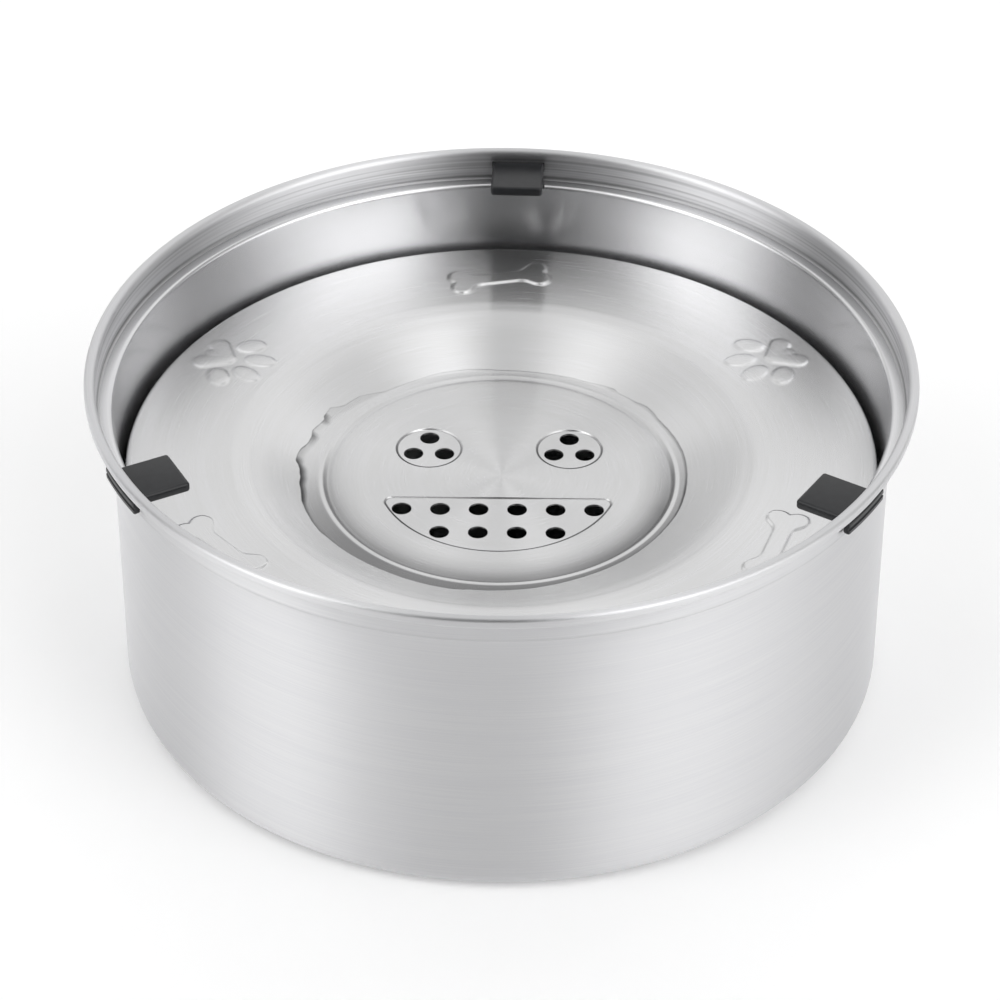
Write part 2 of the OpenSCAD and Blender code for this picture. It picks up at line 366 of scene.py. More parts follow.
def clean(piece, merge_mm=0.0005):
    """Merges doubles and turns the faces outwards."""
    mesh = bmesh.new()
    mesh.from_mesh(piece.data)
    bmesh.ops.remove_doubles(mesh, verts=mesh.verts, dist=merge_mm * MM)
    bmesh.ops.dissolve_degenerate(mesh, edges=mesh.edges, dist=1e-9)
    bmesh.ops.recalc_face_normals(mesh, faces=mesh.faces)
    mesh.to_mesh(piece.data)
    mesh.free()
    return piece


def smooth(piece, sharp_degrees=40):
    """Smooth shading with sharp edges where the surface turns by more than the angle."""
    piece.data.shade_smooth()
    piece.data.set_sharp_from_angle(angle=math.radians(sharp_degrees))
    return piece


def thicken(piece, thickness, offset, back=0):
    """Gives a sheet its thickness, and its back another material if one is named by its place."""
    wall = piece.modifiers.new("sheet", "SOLIDIFY")
    wall.material_offset = back
    wall.thickness = thickness * MM
    wall.offset = offset
    wall.use_even_offset = True
    return settle(piece)


def inputs_of(tree):
    """Identifiers of a node tree's inputs by name."""
    return {s.name: s.identifier for s in tree.interface.items_tree if s.in_out == "INPUT"}


def new_tree(name, inputs):
    """A geometry node tree with its group nodes and named inputs."""
    tree = bpy.data.node_groups.new(name, "GeometryNodeTree")
    tree.interface.new_socket("Geometry", in_out="INPUT", socket_type="NodeSocketGeometry")
    for label, kind in inputs.items():
        tree.interface.new_socket(label, in_out="INPUT", socket_type=kind)
    tree.interface.new_socket("Geometry", in_out="OUTPUT", socket_type="NodeSocketGeometry")
    return tree, add(tree, "NodeGroupInput").outputs


def close_tree(tree, geometry, material):
    """Ends a tree in real geometry with its material."""
    real = add(tree, "GeometryNodeRealizeInstances", {0: geometry}).outputs[0]
    painted = add(tree, "GeometryNodeSetMaterial", {"Geometry": real, "Material": material}).outputs[0]
    add(tree, "NodeGroupOutput", {0: painted})


def run_tree(piece, tree, **values):
    """Runs a tree on a piece and keeps the result as its mesh."""
    names = inputs_of(tree)
    modifier = piece.modifiers.new(tree.name, "NODES")
    modifier.node_group = tree
    for label, value in values.items():
        modifier[names[label.replace("_", " ").capitalize()]] = value
    return settle(piece)


def spin_tree():
    """Spins a half section, a row of points in the XZ plane, into a sheet round the Z axis."""
    tree, given = new_tree("spin_section", {"Steps": "NodeSocketInt", "First angle": "NodeSocketFloat",
                                            "Material": "NodeSocketMaterial"})
    count = add(tree, "GeometryNodeAttributeDomainSize", {0: given["Geometry"]}).outputs["Point Count"]
    columns = add(tree, "ShaderNodeMath", {0: given["Steps"], 1: 1.0}).outputs[0]
    sheet = add(tree, "GeometryNodeMeshGrid", {"Vertices X": columns, "Vertices Y": count}).outputs["Mesh"]
    index = add(tree, "GeometryNodeInputIndex").outputs[0]
    row = add(tree, "ShaderNodeMath", {0: index, 1: count}, operation="MODULO").outputs[0]
    share = add(tree, "ShaderNodeMath", {0: index, 1: count}, operation="DIVIDE").outputs[0]
    column = add(tree, "ShaderNodeMath", {0: share}, operation="FLOOR").outputs[0]
    turn = add(tree, "ShaderNodeMath", {0: math.tau, 1: given["Steps"]}, operation="DIVIDE").outputs[0]
    angle = add(tree, "ShaderNodeMath", {0: column, 1: turn, 2: given["First angle"]},
                operation="MULTIPLY_ADD").outputs[0]
    place = add(tree, "GeometryNodeInputPosition").outputs[0]
    point = add(tree, "GeometryNodeSampleIndex", {"Geometry": given["Geometry"], "Index": row},
                data_type="FLOAT_VECTOR")
    tree.links.new(place, point.inputs["Value"])
    turned = add(tree, "ShaderNodeVectorRotate", {"Vector": point.outputs[0], "Angle": angle},
                 rotation_type="Z_AXIS").outputs[0]
    spun = add(tree, "GeometryNodeSetPosition", {"Geometry": sheet, "Position": turned}).outputs[0]
    whole = add(tree, "GeometryNodeMergeByDistance", {"Geometry": spun, "Distance": 0.0005 * MM}).outputs[0]
    close_tree(tree, whole, given["Material"])
    return tree


def spin(name, section, material, first_angle=0.0):
    """A piece spun from a half section of (radius, height) points."""
    points = [Vector((r, 0, z)) * MM for r, z in section]
    rail = [(i, i + 1) for i in range(len(points) - 1)]
    piece = mesh_object(name, points, edges=rail)
    run_tree(piece, SPIN, steps=SPIN_STEPS, first_angle=math.radians(first_angle), material=material)
    return clean(piece)


SPIN = spin_tree()


# Bowl


def bowl_section():
    """Middle line of the bowl's sheet: dished floor, foot, corner, wall, step, band and rolled bead."""
    dish_r = wall_r + SHEET / 2 - CORNER_R - FOOT_W + SHEET / 2
    half = DISH_H / 2
    corner = (wall_r - CORNER_R + SHEET / 2, foot_mid_z + CORNER_R - SHEET / 2)
    wall_low, wall_high = corner[1], ledge_z - LEDGE_BEND
    band_low, band_high = ledge_z + LEDGE_BEND, rim_z - SHEET / 2 - BEAD_BEND_IN
    points = [(r, floor_mid_z) for r in FLOOR_RINGS]
    points += arc((dish_r - half, floor_mid_z - half), half, 90, 0, 5)
    points += arc((dish_r + half, foot_mid_z + half), half, 180, 270, 5)[1:]
    points += arc(corner, CORNER_R - SHEET / 2, 270, 360, 10)
    points += [(wall_r, wall_low + (wall_high - wall_low) * i / WALL_ROWS) for i in range(1, WALL_ROWS)]
    points += arc((wall_r + LEDGE_BEND, wall_high), LEDGE_BEND, 180, 90, 8)
    points += arc((band_r - LEDGE_BEND, band_low), LEDGE_BEND, 270, 360, 8)
    for low, high in ((band_low, slot_z), (slot_z, slot_top), (slot_top, band_high)):
        rows = math.ceil((high - low) / BAND_ROW)
        points += [(band_r, low + (high - low) * i / rows) for i in range(1, rows + 1)]
    points.pop()
    bead_out, bead_low = rim_r - SHEET / 2 - BEAD_BEND, rim_z - BEAD_D + SHEET / 2 + BEAD_BEND
    points += arc((band_r + BEAD_BEND_IN, band_high), BEAD_BEND_IN, 180, 90, 10)
    points += arc((bead_out, rim_z - SHEET / 2 - BEAD_BEND), BEAD_BEND, 90, 0, 8)
    points += arc((bead_out, bead_low), BEAD_BEND, 0, -90, 8)
    return points + [(band_r + BEAD_TURN_IN, bead_low - BEAD_BEND)]


def cut_slots(piece):
    """Opens the three slots in the band."""
    half = math.radians(360 / SPIN_STEPS * SLOT_STEPS / 2)
    mesh = bmesh.new()
    mesh.from_mesh(piece.data)

    def in_slot(face):
        middle = face.calc_center_median() / MM
        if not (slot_z < middle.z < slot_top and middle.xy.length > band_r - SHEET):
            return False
        angle = math.atan2(middle.y, middle.x)
        turns = [angle - math.radians(a) for a in CLIP_ANGLES.values()]
        return any(abs(math.remainder(t, math.tau)) < half for t in turns)

    bmesh.ops.delete(mesh, geom=[f for f in mesh.faces if in_slot(f)], context="FACES")
    mesh.to_mesh(piece.data)
    mesh.free()


def make_bowl():
    """The bowl as one sheet with its slots."""
    first = CLIP_ANGLES["clip_back"] - 180 / SPIN_STEPS * SLOT_STEPS
    piece = spin("bowl_shell", bowl_section(), inside_steel, first)
    cut_slots(piece)
    piece.data.materials.append(bowl_steel)
    piece.data.materials.append(rim_steel)
    thicken(piece, SHEET, 0.0, 1)
    for face in piece.data.polygons:
        on_bead = face.center.z > (rim_z - BEAD_D) * MM
        outside = face.material_index == 1
        if on_bead or outside and face.center.z > ledge_z * MM and face.center.xy.length > (band_r - STEP_BEND) * MM:
            face.material_index = 2
    # Painted shade and painted dark streaks of reflection on the band
    paint_shade(piece, band_painted_shade)
    return smooth(piece)


# Painted shade on the band, dark lines where shade would fall: each one's strength, height over the ledge and half
# width, then painted dark streaks of reflection along the brushing, with their mean and spread, their waves round the
# band and for each millimetre up it, and their fades
BEND_SHADE_LINE = (0.12, 0.7, 0.8)
CORNER_SHADE_LINE = (0.5, 0.9, 0.8)
CORNER_FULL = 1.2
STREAK_MEAN = 0.05
STREAK_SPREAD = 0.5
STREAK_ROUND = 1.6
STREAK_UP = 1.9
STREAK_FADE_LOW = (1.4, 0.5)
STREAK_FADE_HIGH = 0.8


def band_painted_shade(r, angle, z):
    """Painted shade on the band: a dark line in the corner of the ledge, painted dark streaks of reflection along the
    brushing inside, and a dark line under the bend outside.
    """
    up = z - ledge_z
    if r > band_r:
        strength, height, half = BEND_SHADE_LINE
        return strength * ramp(1 - abs(up - height) / half)
    if r < band_r - LEDGE_BEND - SHEET or z > bead_mid[1]:
        return 0.0
    strength, height, half = CORNER_SHADE_LINE
    corner = strength * ramp(CORNER_FULL - abs(up - height) / half)
    streak = noise.noise(Vector((STREAK_ROUND * math.cos(angle), STREAK_ROUND * math.sin(angle), STREAK_UP * z)))
    fade = ramp((up - STREAK_FADE_LOW[0]) / STREAK_FADE_LOW[1]) * ramp((bead_mid[1] - z) / STREAK_FADE_HIGH)
    return max(corner, (STREAK_MEAN + STREAK_SPREAD * streak) * fade)


def make_base_ring():
    """Rubber ring under the bowl, rounded and with two tread grooves."""
    outer, inner = ring_high.x, ring_high.x - FOOT_W
    low, high = ring_low.z, ring_high.z
    r = RING_ROUND
    third = (outer - inner) / 3
    section = arc((inner + r, low + r), r, 180, 270, 4)
    for middle in (inner + third, outer - third):
        section += arc((middle, low), RING_TREAD, 180, 0, 8)
    section += arc((outer - r, low + r), r, 270, 360, 4)
    section += arc((outer - r, high - r), r, 0, 90, 4)
    section += arc((inner + r, high - r), r, 90, 180, 4)
    section += section[:1]
    return smooth(spin("base_ring_tread", section, ring_rubber))


# Float


def make_float_pan():
    """Lower pressing of the float, a trough open at the top."""
    outer_top = float_z - EDGE_R
    inner_top = plate_z + PAN_LIP
    bend = PAN_BEND - SHEET / 2
    section = [(pan_in_r, inner_top), (pan_in_r, (inner_top + pan_z) / 2)]
    section += arc((pan_in_r + bend, pan_z + bend), bend, 180, 270, 8)
    section += [(pan_in_r + (pan_r - pan_in_r) * i / 4, pan_z) for i in (1, 2, 3)]
    section += arc((pan_r - bend, pan_z + bend), bend, 270, 360, 8)
    section += [(pan_r, (outer_top + pan_z) / 2), (pan_r, outer_top)]
    return smooth(thicken(spin("float_pan_trough", section, float_steel), SHEET, 0.0))


def capsule(p, a, b, r):
    """Signed distance from a point to a bar with round ends."""
    run = b - a
    t = max(0.0, min(1.0, (p - a).dot(run) / run.length_squared))
    return (p - a - run * t).length - r


# Bones and paws, in millimetres on a flat sheet with x away from the axis. Bones have an angle and a distance
# further out, paws an angle. A toe has its middle, its turn and its half length and width.
BONE_L = 31.0
KNOB_D = 6.4
KNOB_GAP = 5.8
SHAFT_W = 5.2
BONE_TILT = 11.0
BONE_BLEND = 4.0
BONES_AT = ((90.4, 0.0), (210.7, 0.4), (329.8, -1.8))
PAD_OUT = 4.2
PAD_D = 6.0
HEEL_L = 5.0
HEEL_W = 9.6
HEEL_NOTCH = 1.2
PAD_TRIM = 0.2
TOES = (((0.75, 9.25), 135.0, 4.4, 3.1), ((-5.9, 4.0), 166.0, 4.8, 2.9))
PAWS_AT = (30.4, 150.5, 270.0)
BONE_EDGE = 1.0
PAW_EDGE = 1.3
PAW_CROWN = 0.2
MOTIF_RISE = 0.6
MOTIF_DOME = 2.4
BONE_REACH = 18.0
PAW_REACH = 16.0
REACH_SPARE = 4.0


def oval(p, centre, turn, half_l, half_w):
    """Signed distance, near enough, from a point to an oval turned by an angle in degrees."""
    way = Vector((math.cos(math.radians(turn)), math.sin(math.radians(turn))))
    run = (p - centre).dot(way), (p - centre).dot(Vector((-way.y, way.x)))
    share = math.hypot(run[0] / half_l, run[1] / half_w)
    steepness = math.hypot(run[0] / half_l ** 2, run[1] / half_w ** 2)
    return share * (share - 1) / steepness if steepness > 0 else -half_w


def bone_distance(p):
    """Signed distance to a bone that lies along the rim."""
    tilt = math.radians(-BONE_TILT)
    q = Vector((p.x * math.cos(tilt) - p.y * math.sin(tilt), p.x * math.sin(tilt) + p.y * math.cos(tilt)))
    q = Vector((abs(q.x), abs(q.y)))
    knob_y = BONE_L / 2 - KNOB_D / 2
    knob = (q - Vector((KNOB_GAP / 2, knob_y))).length - KNOB_D / 2
    shaft = max(q.x - SHAFT_W / 2, q.y - knob_y)
    near = max(0.0, BONE_BLEND - abs(knob - shaft)) / BONE_BLEND
    return min(knob, shaft) - near * near * BONE_BLEND / 4


def paw_distance(p):
    """Signed distance to a paw with its heel towards the rim."""
    front = Vector((PAD_OUT, 0))
    q = Vector((p.x, abs(p.y)))
    heel = front + Vector((HEEL_L, HEEL_W / 2))
    middle = front + Vector((HEEL_L - HEEL_NOTCH, 0))
    pad = min(capsule(q, front, heel, PAD_D / 2), capsule(q, front, middle, PAD_D / 2 - PAD_TRIM))
    return min(pad, *[oval(q, Vector(centre), *form) for centre, *form in TOES])


MOTIFS = [(turn, out, bone_distance, BONE_REACH, BONE_EDGE, 0.0) for turn, out in BONES_AT]
MOTIFS += [(turn, 0.0, paw_distance, PAW_REACH, PAW_EDGE, PAW_CROWN) for turn in PAWS_AT]


def relief(radius, angle):
    """Height of the pressed bones and paws at a place on the float's flat ring."""
    here = Vector((radius * math.cos(angle), radius * math.sin(angle)))
    for turn, further, distance, reach, edge_w, crown_share in MOTIFS:
        way = math.radians(turn)
        out = Vector((math.cos(way), math.sin(way)))
        local = Vector((here.dot(out) - motif_r - further, here.dot(Vector((-out.y, out.x)))))
        if local.length < reach + REACH_SPARE:
            depth = -distance(local)
            edge, crown = ramp(0.5 + depth / edge_w), ramp(depth / MOTIF_DOME)
            return MOTIF_RISE * (edge * (1 - crown_share) + crown * crown_share)
    return 0.0


# The seam by degrees from the right through the back: the edge's radius, how strongly shade is painted along it, how
# far it gapes as a share of the sheet, and its height as a share of the rise
LIP_STOPS = ((0, 54.4), (10, 54.6), (30, 54.4), (34, 54.9), (38, 55.3), (42, 54.5), (50, 54.4), (51.5, 55.0),
             (56, 54.6), (60, 54.1), (75, 53.7), (90, 53.7), (100, 54.6), (110, 55.0), (120, 54.8), (130, 54.9),
             (133, 55.8), (138, 57.3), (144, 57.6), (146.3, 58.4), (148.9, 59.9), (151, 59.6), (153.2, 59.4),
             (154.2, 58.7), (157.3, 59.2), (160.6, 59.6), (163, 58.9), (167, 59.1), (169.5, 60.0), (173.2, 60.6),
             (176.3, 60.5), (177.4, 59.7), (179.5, 59.1), (183, 58.8), (186, 59.2), (189.5, 59.1), (192, 59.4),
             (195, 59.9), (210, 60.3), (213, 59.8), (221, 59.4), (235, 58.4), (245, 58.5), (256, 58.9), (259, 58.4),
             (261, 57.6), (270, 57.4), (280, 57.0), (292, 56.0), (300, 55.7), (310, 55.5), (320, 54.9), (330, 54.6),
             (340, 54.7), (350, 54.4), (360, 54.4))
LIP_STRETCH = 14
LIP_FRAY = 0.1
FRAY_WAVES = 22
SEAM_SHADE_STOPS = ((0, 0.55), (10, 0.42), (20, 0.32), (30, 0.25), (40, 0.2), (45, 0.08), (50, 0.08), (52, 0.2), (56, 0.06),
              (75, 0.1), (95, 0.12), (105, 0.03), (140, 0.05), (151, 0.1), (152.6, 0.6), (154.4, 0.5), (156, 0.1),
              (160.2, 0.12), (161.6, 0.65), (164, 0.4), (167, 0.2), (173, 0.3), (176, 0.85), (177.5, 1.0), (191, 0.95),
              (197, 0.66), (209, 0.64), (212, 0.85), (215, 0.68), (240, 0.7), (320, 0.75), (350, 0.8), (360, 0.55))
OPEN_STOPS = ((0, 0.5), (40, 0.1), (60, 0.02), (130, 0.02), (150, 0.2), (170, 0.5), (190, 0.8), (360, 0.5))
RISE_STOPS = ((0, 0.9), (30, 0.6), (60, 0.4), (130, 0.4), (160, 0.8), (180, 1.0), (330, 1.0), (360, 0.9))


def smoothed_lip(reach):
    """Smooth line inside the uneven edge, by whole degrees: the mean of its least radius over a stretch."""
    near = range(-reach, reach + 1)
    edge = [along(LIP_STOPS, turn) for turn in range(360)]
    least = [min(edge[(turn + k) % 360] for k in near) for turn in range(360)]
    return [sum(least[(turn + k) % 360] for k in near) / len(near) for turn in range(360)]


LIP_LINE = smoothed_lip(LIP_STRETCH)


def lip_edge(angle):
    """Radius of the top's inner edge: long waves, a few sharp nicks and a slight fray."""
    fray = 1 + noise.noise(Vector((math.cos(angle), math.sin(angle), 0)) * FRAY_WAVES)
    return along(LIP_STOPS, math.degrees(angle) % 360) + LIP_FRAY * fray


def lip_mean(angle):
    """Radius at which the slope of the top would meet the plate."""
    turn = math.degrees(angle) % 360
    first = int(turn)
    near, far = LIP_LINE[first % 360], LIP_LINE[(first + 1) % 360]
    return near + (far - near) * (turn - first)


def seam_painted_shade(angle):
    """How strongly shade is painted along the top's inner edge: most at the left, less at the front and right, least at
    the back.
    """
    return along(SEAM_SHADE_STOPS, math.degrees(angle) % 360)


def lip_rise(angle):
    """Height of the seam over the plate, least at the back."""
    return LIP_RISE * along(RISE_STOPS, math.degrees(angle) % 360)


def lip_z(angle):
    """Height of the top's surface where its slope would meet the plate."""
    return plate_z + lip_rise(angle) + SEAM_GAP + SHEET * along(OPEN_STOPS, math.degrees(angle) % 360)


def slope_rate(angle):
    """Rise of the top's slope for each millimetre outwards."""
    return (float_z - lip_z(angle)) / (MOUTH_R - lip_mean(angle))


# Columns of the float's top in degrees and rows in millimetres, fine where the bones and paws lie
FINE_TURN = 0.24
WIDE_TURN = 0.7
FINE_ROW = 0.36
WIDE_ROW = 1.6
RELIEF_IN = 14
RELIEF_OUT = 13.5
EDGE_SPARE = 0.2
SLOPE_ROWS = (0.0, 0.02, 0.05, 0.09, 0.15, 0.25, 0.4, 0.55, 0.7, 0.8, 0.88, 0.95)


def float_angles():
    """Angles of the columns of the float's top: close together where a bone or a paw lies."""
    angles = []
    turn = 0.0
    while turn < 360 - 1e-6:
        angles.append(math.radians(turn))
        near = any(abs(math.remainder(turn - t, 360)) < math.degrees(reach / motif_r) for t, _, _, reach, *_ in MOTIFS)
        turn += FINE_TURN if near else WIDE_TURN
    return angles


def mouth_drop(r):
    """How far the rounded bend at the top of the slope lies below its corner."""
    return ramp(1 - abs(r - MOUTH_R) / MOUTH_BLEND) * MOUTH_DROP


def float_rows():
    """Rows of the float's top from its inner edge to its skirt, each a function of the angle giving a point."""
    rows = []

    def slope_row(t):
        def row(angle):
            edge = lip_edge(angle)
            r = edge + (MOUTH_R - edge) * t
            return r, lip_z(angle) + slope_rate(angle) * (r - lip_mean(angle)) - mouth_drop(r)
        return row

    def flat_row(r):
        def row(angle):
            return r, float_z - mouth_drop(r) + relief(r, angle)
        return row

    def fixed_row(r, z):
        return lambda angle: (r, z)

    rows += [slope_row(t) for t in SLOPE_ROWS]
    r = MOUTH_R
    relief_in, relief_out = motif_r - RELIEF_IN, motif_r + RELIEF_OUT
    while r < float_r - EDGE_R - EDGE_SPARE:
        rows.append(flat_row(r))
        r += FINE_ROW if relief_in < r < relief_out else WIDE_ROW
    rows += [fixed_row(*p) for p in arc((float_r - EDGE_R, float_z - EDGE_R), EDGE_R, 90, 0, 8)]
    rows += [fixed_row(float_r, float_z - (EDGE_R + SKIRT_H) / 2), fixed_row(float_r, float_z - SKIRT_H)]
    under = [(float_r - SHEET, float_z - SKIRT_H), (float_r - SHEET, float_z - EDGE_R)]
    under += arc((float_r - EDGE_R, float_z - EDGE_R), EDGE_R - SHEET, 0, 90, 4)
    under += [(MOUTH_R + 1, float_z - SHEET)]
    rows += [fixed_row(*p) for p in under]

    def under_lip(angle):
        edge = lip_edge(angle)
        lift = slope_rate(angle) * (edge - lip_mean(angle))
        return edge, plate_z + lip_rise(angle) + SEAM_GAP + lift

    rows.append(under_lip)
    return rows


def make_float_top():
    """Upper pressing of the float with its bones, paws, slope and uneven inner edge."""
    angles = float_angles()
    rows = float_rows()
    points = []
    for row in rows:
        for angle in angles:
            r, z = row(angle)
            points.append(polar(r, angle, z))
    n = len(angles)
    faces = []
    for j in range(len(rows)):
        for i in range(n):
            k = (i + 1) % n
            below = (j + 1) % len(rows)
            faces.append((j * n + i, j * n + k, below * n + k, below * n + i))
    piece = mesh_object("float_cover", points, faces)
    piece.data.materials.append(float_steel)

    # Painted shade: a dark line along the top's cut inner edge
    def edge_painted_shade(r, angle, z):
        return seam_painted_shade(angle) * (1 - ramp((r - lip_edge(angle)) / LIP_SHADE_W))

    paint_shade(piece, edge_painted_shade)
    return smooth(clean(piece))


# Well plate


def panel_outlines(grow):
    """Outlines of the wide panel, a round one cut straight, and of the two round panels, grown by a width."""
    r, centre = MOUTH_PANEL_R + grow, -MOUTH_PANEL_Y
    q = PANEL_CORNER + grow
    corner_y = -MOUTH_PANEL_TOP + grow - q
    corner_x = math.sqrt((r - q) ** 2 - (corner_y - centre) ** 2)
    low = math.degrees(math.atan2(corner_y - centre, corner_x))
    wide = arc((corner_x, corner_y), q, low, 90, 12)
    wide += arc((-corner_x, corner_y), q, 90, 180 - low, 12)
    wide += arc((0, centre), r, 180 - low, 360 + low, 72)[1:-1]
    eye_r = EYE_R + HOLE_D / 2 + EYE_MARGIN + grow
    eyes = [arc((side * EYE_X, EYE_Y), eye_r, 0, 360, 64)[:-1] for side in (-1, 1)]
    return [wide, *eyes]


def loops_mesh(name, loops, z):
    """Closed outlines at one height as an edge mesh."""
    points, edges = [], []
    for loop in loops:
        first = len(points)
        points += [Vector((x, y, z)) * MM for x, y in loop]
        edges += [(first + i, first + (i + 1) % len(loop)) for i in range(len(loop))]
    return mesh_object(name, points, edges=edges)


def close_sheet(tree, given, outlines):
    """Ends a tree with its outlines filled as sheet at its height."""
    filled = add(tree, "GeometryNodeFillCurve", {0: outlines}).outputs[0]
    level = add(tree, "ShaderNodeCombineXYZ", {2: given["Height"]}).outputs[0]
    lifted = add(tree, "GeometryNodeSetPosition", {"Geometry": filled, "Offset": level}).outputs[0]
    close_tree(tree, lifted, given["Material"])


def perforate_tree():
    """Fills outlines with sheet and leaves the drain holes open: two rows and two groups of three."""
    tree, given = new_tree("perforate", {
        "Hole size": "NodeSocketFloat", "Pitch": "NodeSocketFloat", "Row count": "NodeSocketInt",
        "Row distance": "NodeSocketFloat", "Eye place": "NodeSocketVector", "Eye radius": "NodeSocketFloat",
        "Height": "NodeSocketFloat", "Material": "NodeSocketMaterial",
    })

    def sums(a, b, operation="ADD"):
        return add(tree, "ShaderNodeMath", {0: a, 1: b}, operation=operation).outputs[0]

    def row(count, distance):
        last = sums(count, 1.0, "SUBTRACT")
        half = sums(sums(last, given["Pitch"], "MULTIPLY"), -0.5, "MULTIPLY")
        start = add(tree, "ShaderNodeCombineXYZ", {0: half, 1: sums(distance, -1.0, "MULTIPLY"), 2: given["Height"]})
        step = add(tree, "ShaderNodeCombineXYZ", {0: given["Pitch"]})
        return add(tree, "GeometryNodeMeshLine", {
            "Count": count, "Start Location": start.outputs[0], "Offset": step.outputs[0],
        }).outputs[0]

    def eye(side):
        ring = add(tree, "GeometryNodeMeshCircle", {"Vertices": 3, "Radius": given["Eye radius"]}).outputs[0]
        place = add(tree, "ShaderNodeVectorMath", {0: given["Eye place"], 1: (side, 1, 1)}, operation="MULTIPLY")
        return add(tree, "GeometryNodeTransform", {
            "Geometry": ring, "Translation": place.outputs[0], "Rotation": (0, 0, math.pi / 2),
        }).outputs[0]

    places = add(tree, "GeometryNodeJoinGeometry")
    lower = sums(given["Row distance"], given["Pitch"])
    groups = [row(given["Row count"], given["Row distance"]), row(sums(given["Row count"], 2.0, "SUBTRACT"), lower),
              eye(-1), eye(1)]
    for group in groups:
        tree.links.new(group, places.inputs[0])
    radius = sums(given["Hole size"], 0.5, "MULTIPLY")
    hole = add(tree, "GeometryNodeCurvePrimitiveCircle", {"Resolution": 48, "Radius": radius}).outputs[0]
    holes = add(tree, "GeometryNodeInstanceOnPoints", {"Points": places.outputs[0], "Instance": hole}).outputs[0]
    cut = add(tree, "GeometryNodeRealizeInstances", {0: holes}).outputs[0]
    outline = add(tree, "GeometryNodeMeshToCurve", {0: given["Geometry"]}).outputs[0]
    loops = add(tree, "GeometryNodeJoinGeometry")
    for part in (cut, outline):
        tree.links.new(part, loops.inputs[0])
    close_sheet(tree, given, loops.outputs[0])
    return tree


def fill_tree():
    """Fills outlines with sheet, leaving inner outlines open."""
    tree, given = new_tree("fill_outline", {"Height": "NodeSocketFloat", "Material": "NodeSocketMaterial"})
    outline = add(tree, "GeometryNodeMeshToCurve", {0: given["Geometry"]}).outputs[0]
    close_sheet(tree, given, outline)
    return tree


def plate_turns():
    """Angles of the points round the plate."""
    return [math.tau * i / PLATE_STEPS for i in range(PLATE_STEPS)]


# Painted shade on the plate by degrees, inside the step, on its riser and outside its crest, where shade and dark
# reflections would fall, and the width of each part in
# millimetres: where it starts or lies, counted from the step, and over how much it fades
PLATE_TINT = 0.08
DISH_SHADE_STOPS = ((0, 0.36), (20, 0.1), (60, 0.03), (80, 0.08), (100, 0.03), (160, 0.04), (180, 0.2), (200, 0.42),
              (240, 0.5), (280, 0.54), (300, 0.58), (340, 0.64), (360, 0.36))
DISH_SHADE_FADES = ((0.45, 12, 8), (0.55, 6.5, 5.5))
DISH_SHADE_END = (0.9, 0.4)
FOOT_LINE = (0.7, 0.75)
FOOT_FULL = 1.5
MARGIN_FADE = (0.8, 0.8)
SHADE_MOST = 0.94
SHADE_GAIN = 1.2
SHADE_REACH = (1.7, 2.2)
SHADE_FALL = 1.4
FOOT_SHADE_STOPS = ((0, 0.6), (15, 0.25), (30, 0.0), (160, 0.0), (170, 0.2), (180, 0.44), (190, 0.56), (200, 0.6),
              (260, 0.58), (290, 0.52), (320, 0.58), (350, 0.64), (360, 0.6))
MARGIN_SHADE_STOPS = ((0, 0.35), (20, 0.1), (60, 0.0), (140, 0.0), (165, 0.05), (180, 0.18), (190, 0.38), (200, 0.54),
                (215, 0.66), (230, 0.69), (305, 0.67), (335, 0.54), (350, 0.44), (360, 0.35))


def ring_shift(angle):
    """How far the pressed step lies outside its mean radius, most at the left and front."""
    return RING_GROW + RING_SHIFT * math.cos(angle - math.radians(RING_SHIFT_WAY))


def plate_painted_shade(place, angle):
    """Painted shade on the plate's margin: inside the step, on its riser, outside its crest and under the top's edge,
    over an even tint of the whole plate.
    """
    turn = math.degrees(angle) % 360
    r = place - ring_shift(angle) - RING_R
    dish = sum(share * ramp((r + start) / width) for share, start, width in DISH_SHADE_FADES)
    dish = PLATE_TINT + along(DISH_SHADE_STOPS, turn) * dish * (1 - ramp((r + DISH_SHADE_END[0]) / DISH_SHADE_END[1]))
    foot = along(FOOT_SHADE_STOPS, turn) * ramp(FOOT_FULL - abs(r + FOOT_LINE[0]) / FOOT_LINE[1])
    band = along(MARGIN_SHADE_STOPS, turn) * ramp((r - MARGIN_FADE[0]) / MARGIN_FADE[1])
    reach = SHADE_REACH[0] + SHADE_REACH[1] * max(0.0, -math.cos(angle)) ** 3
    shade = min(SHADE_MOST, SHADE_GAIN * seam_painted_shade(angle))
    lip = shade * ramp(1 - (lip_edge(angle) - place) / reach) ** SHADE_FALL
    return max(dish, foot, band, lip)


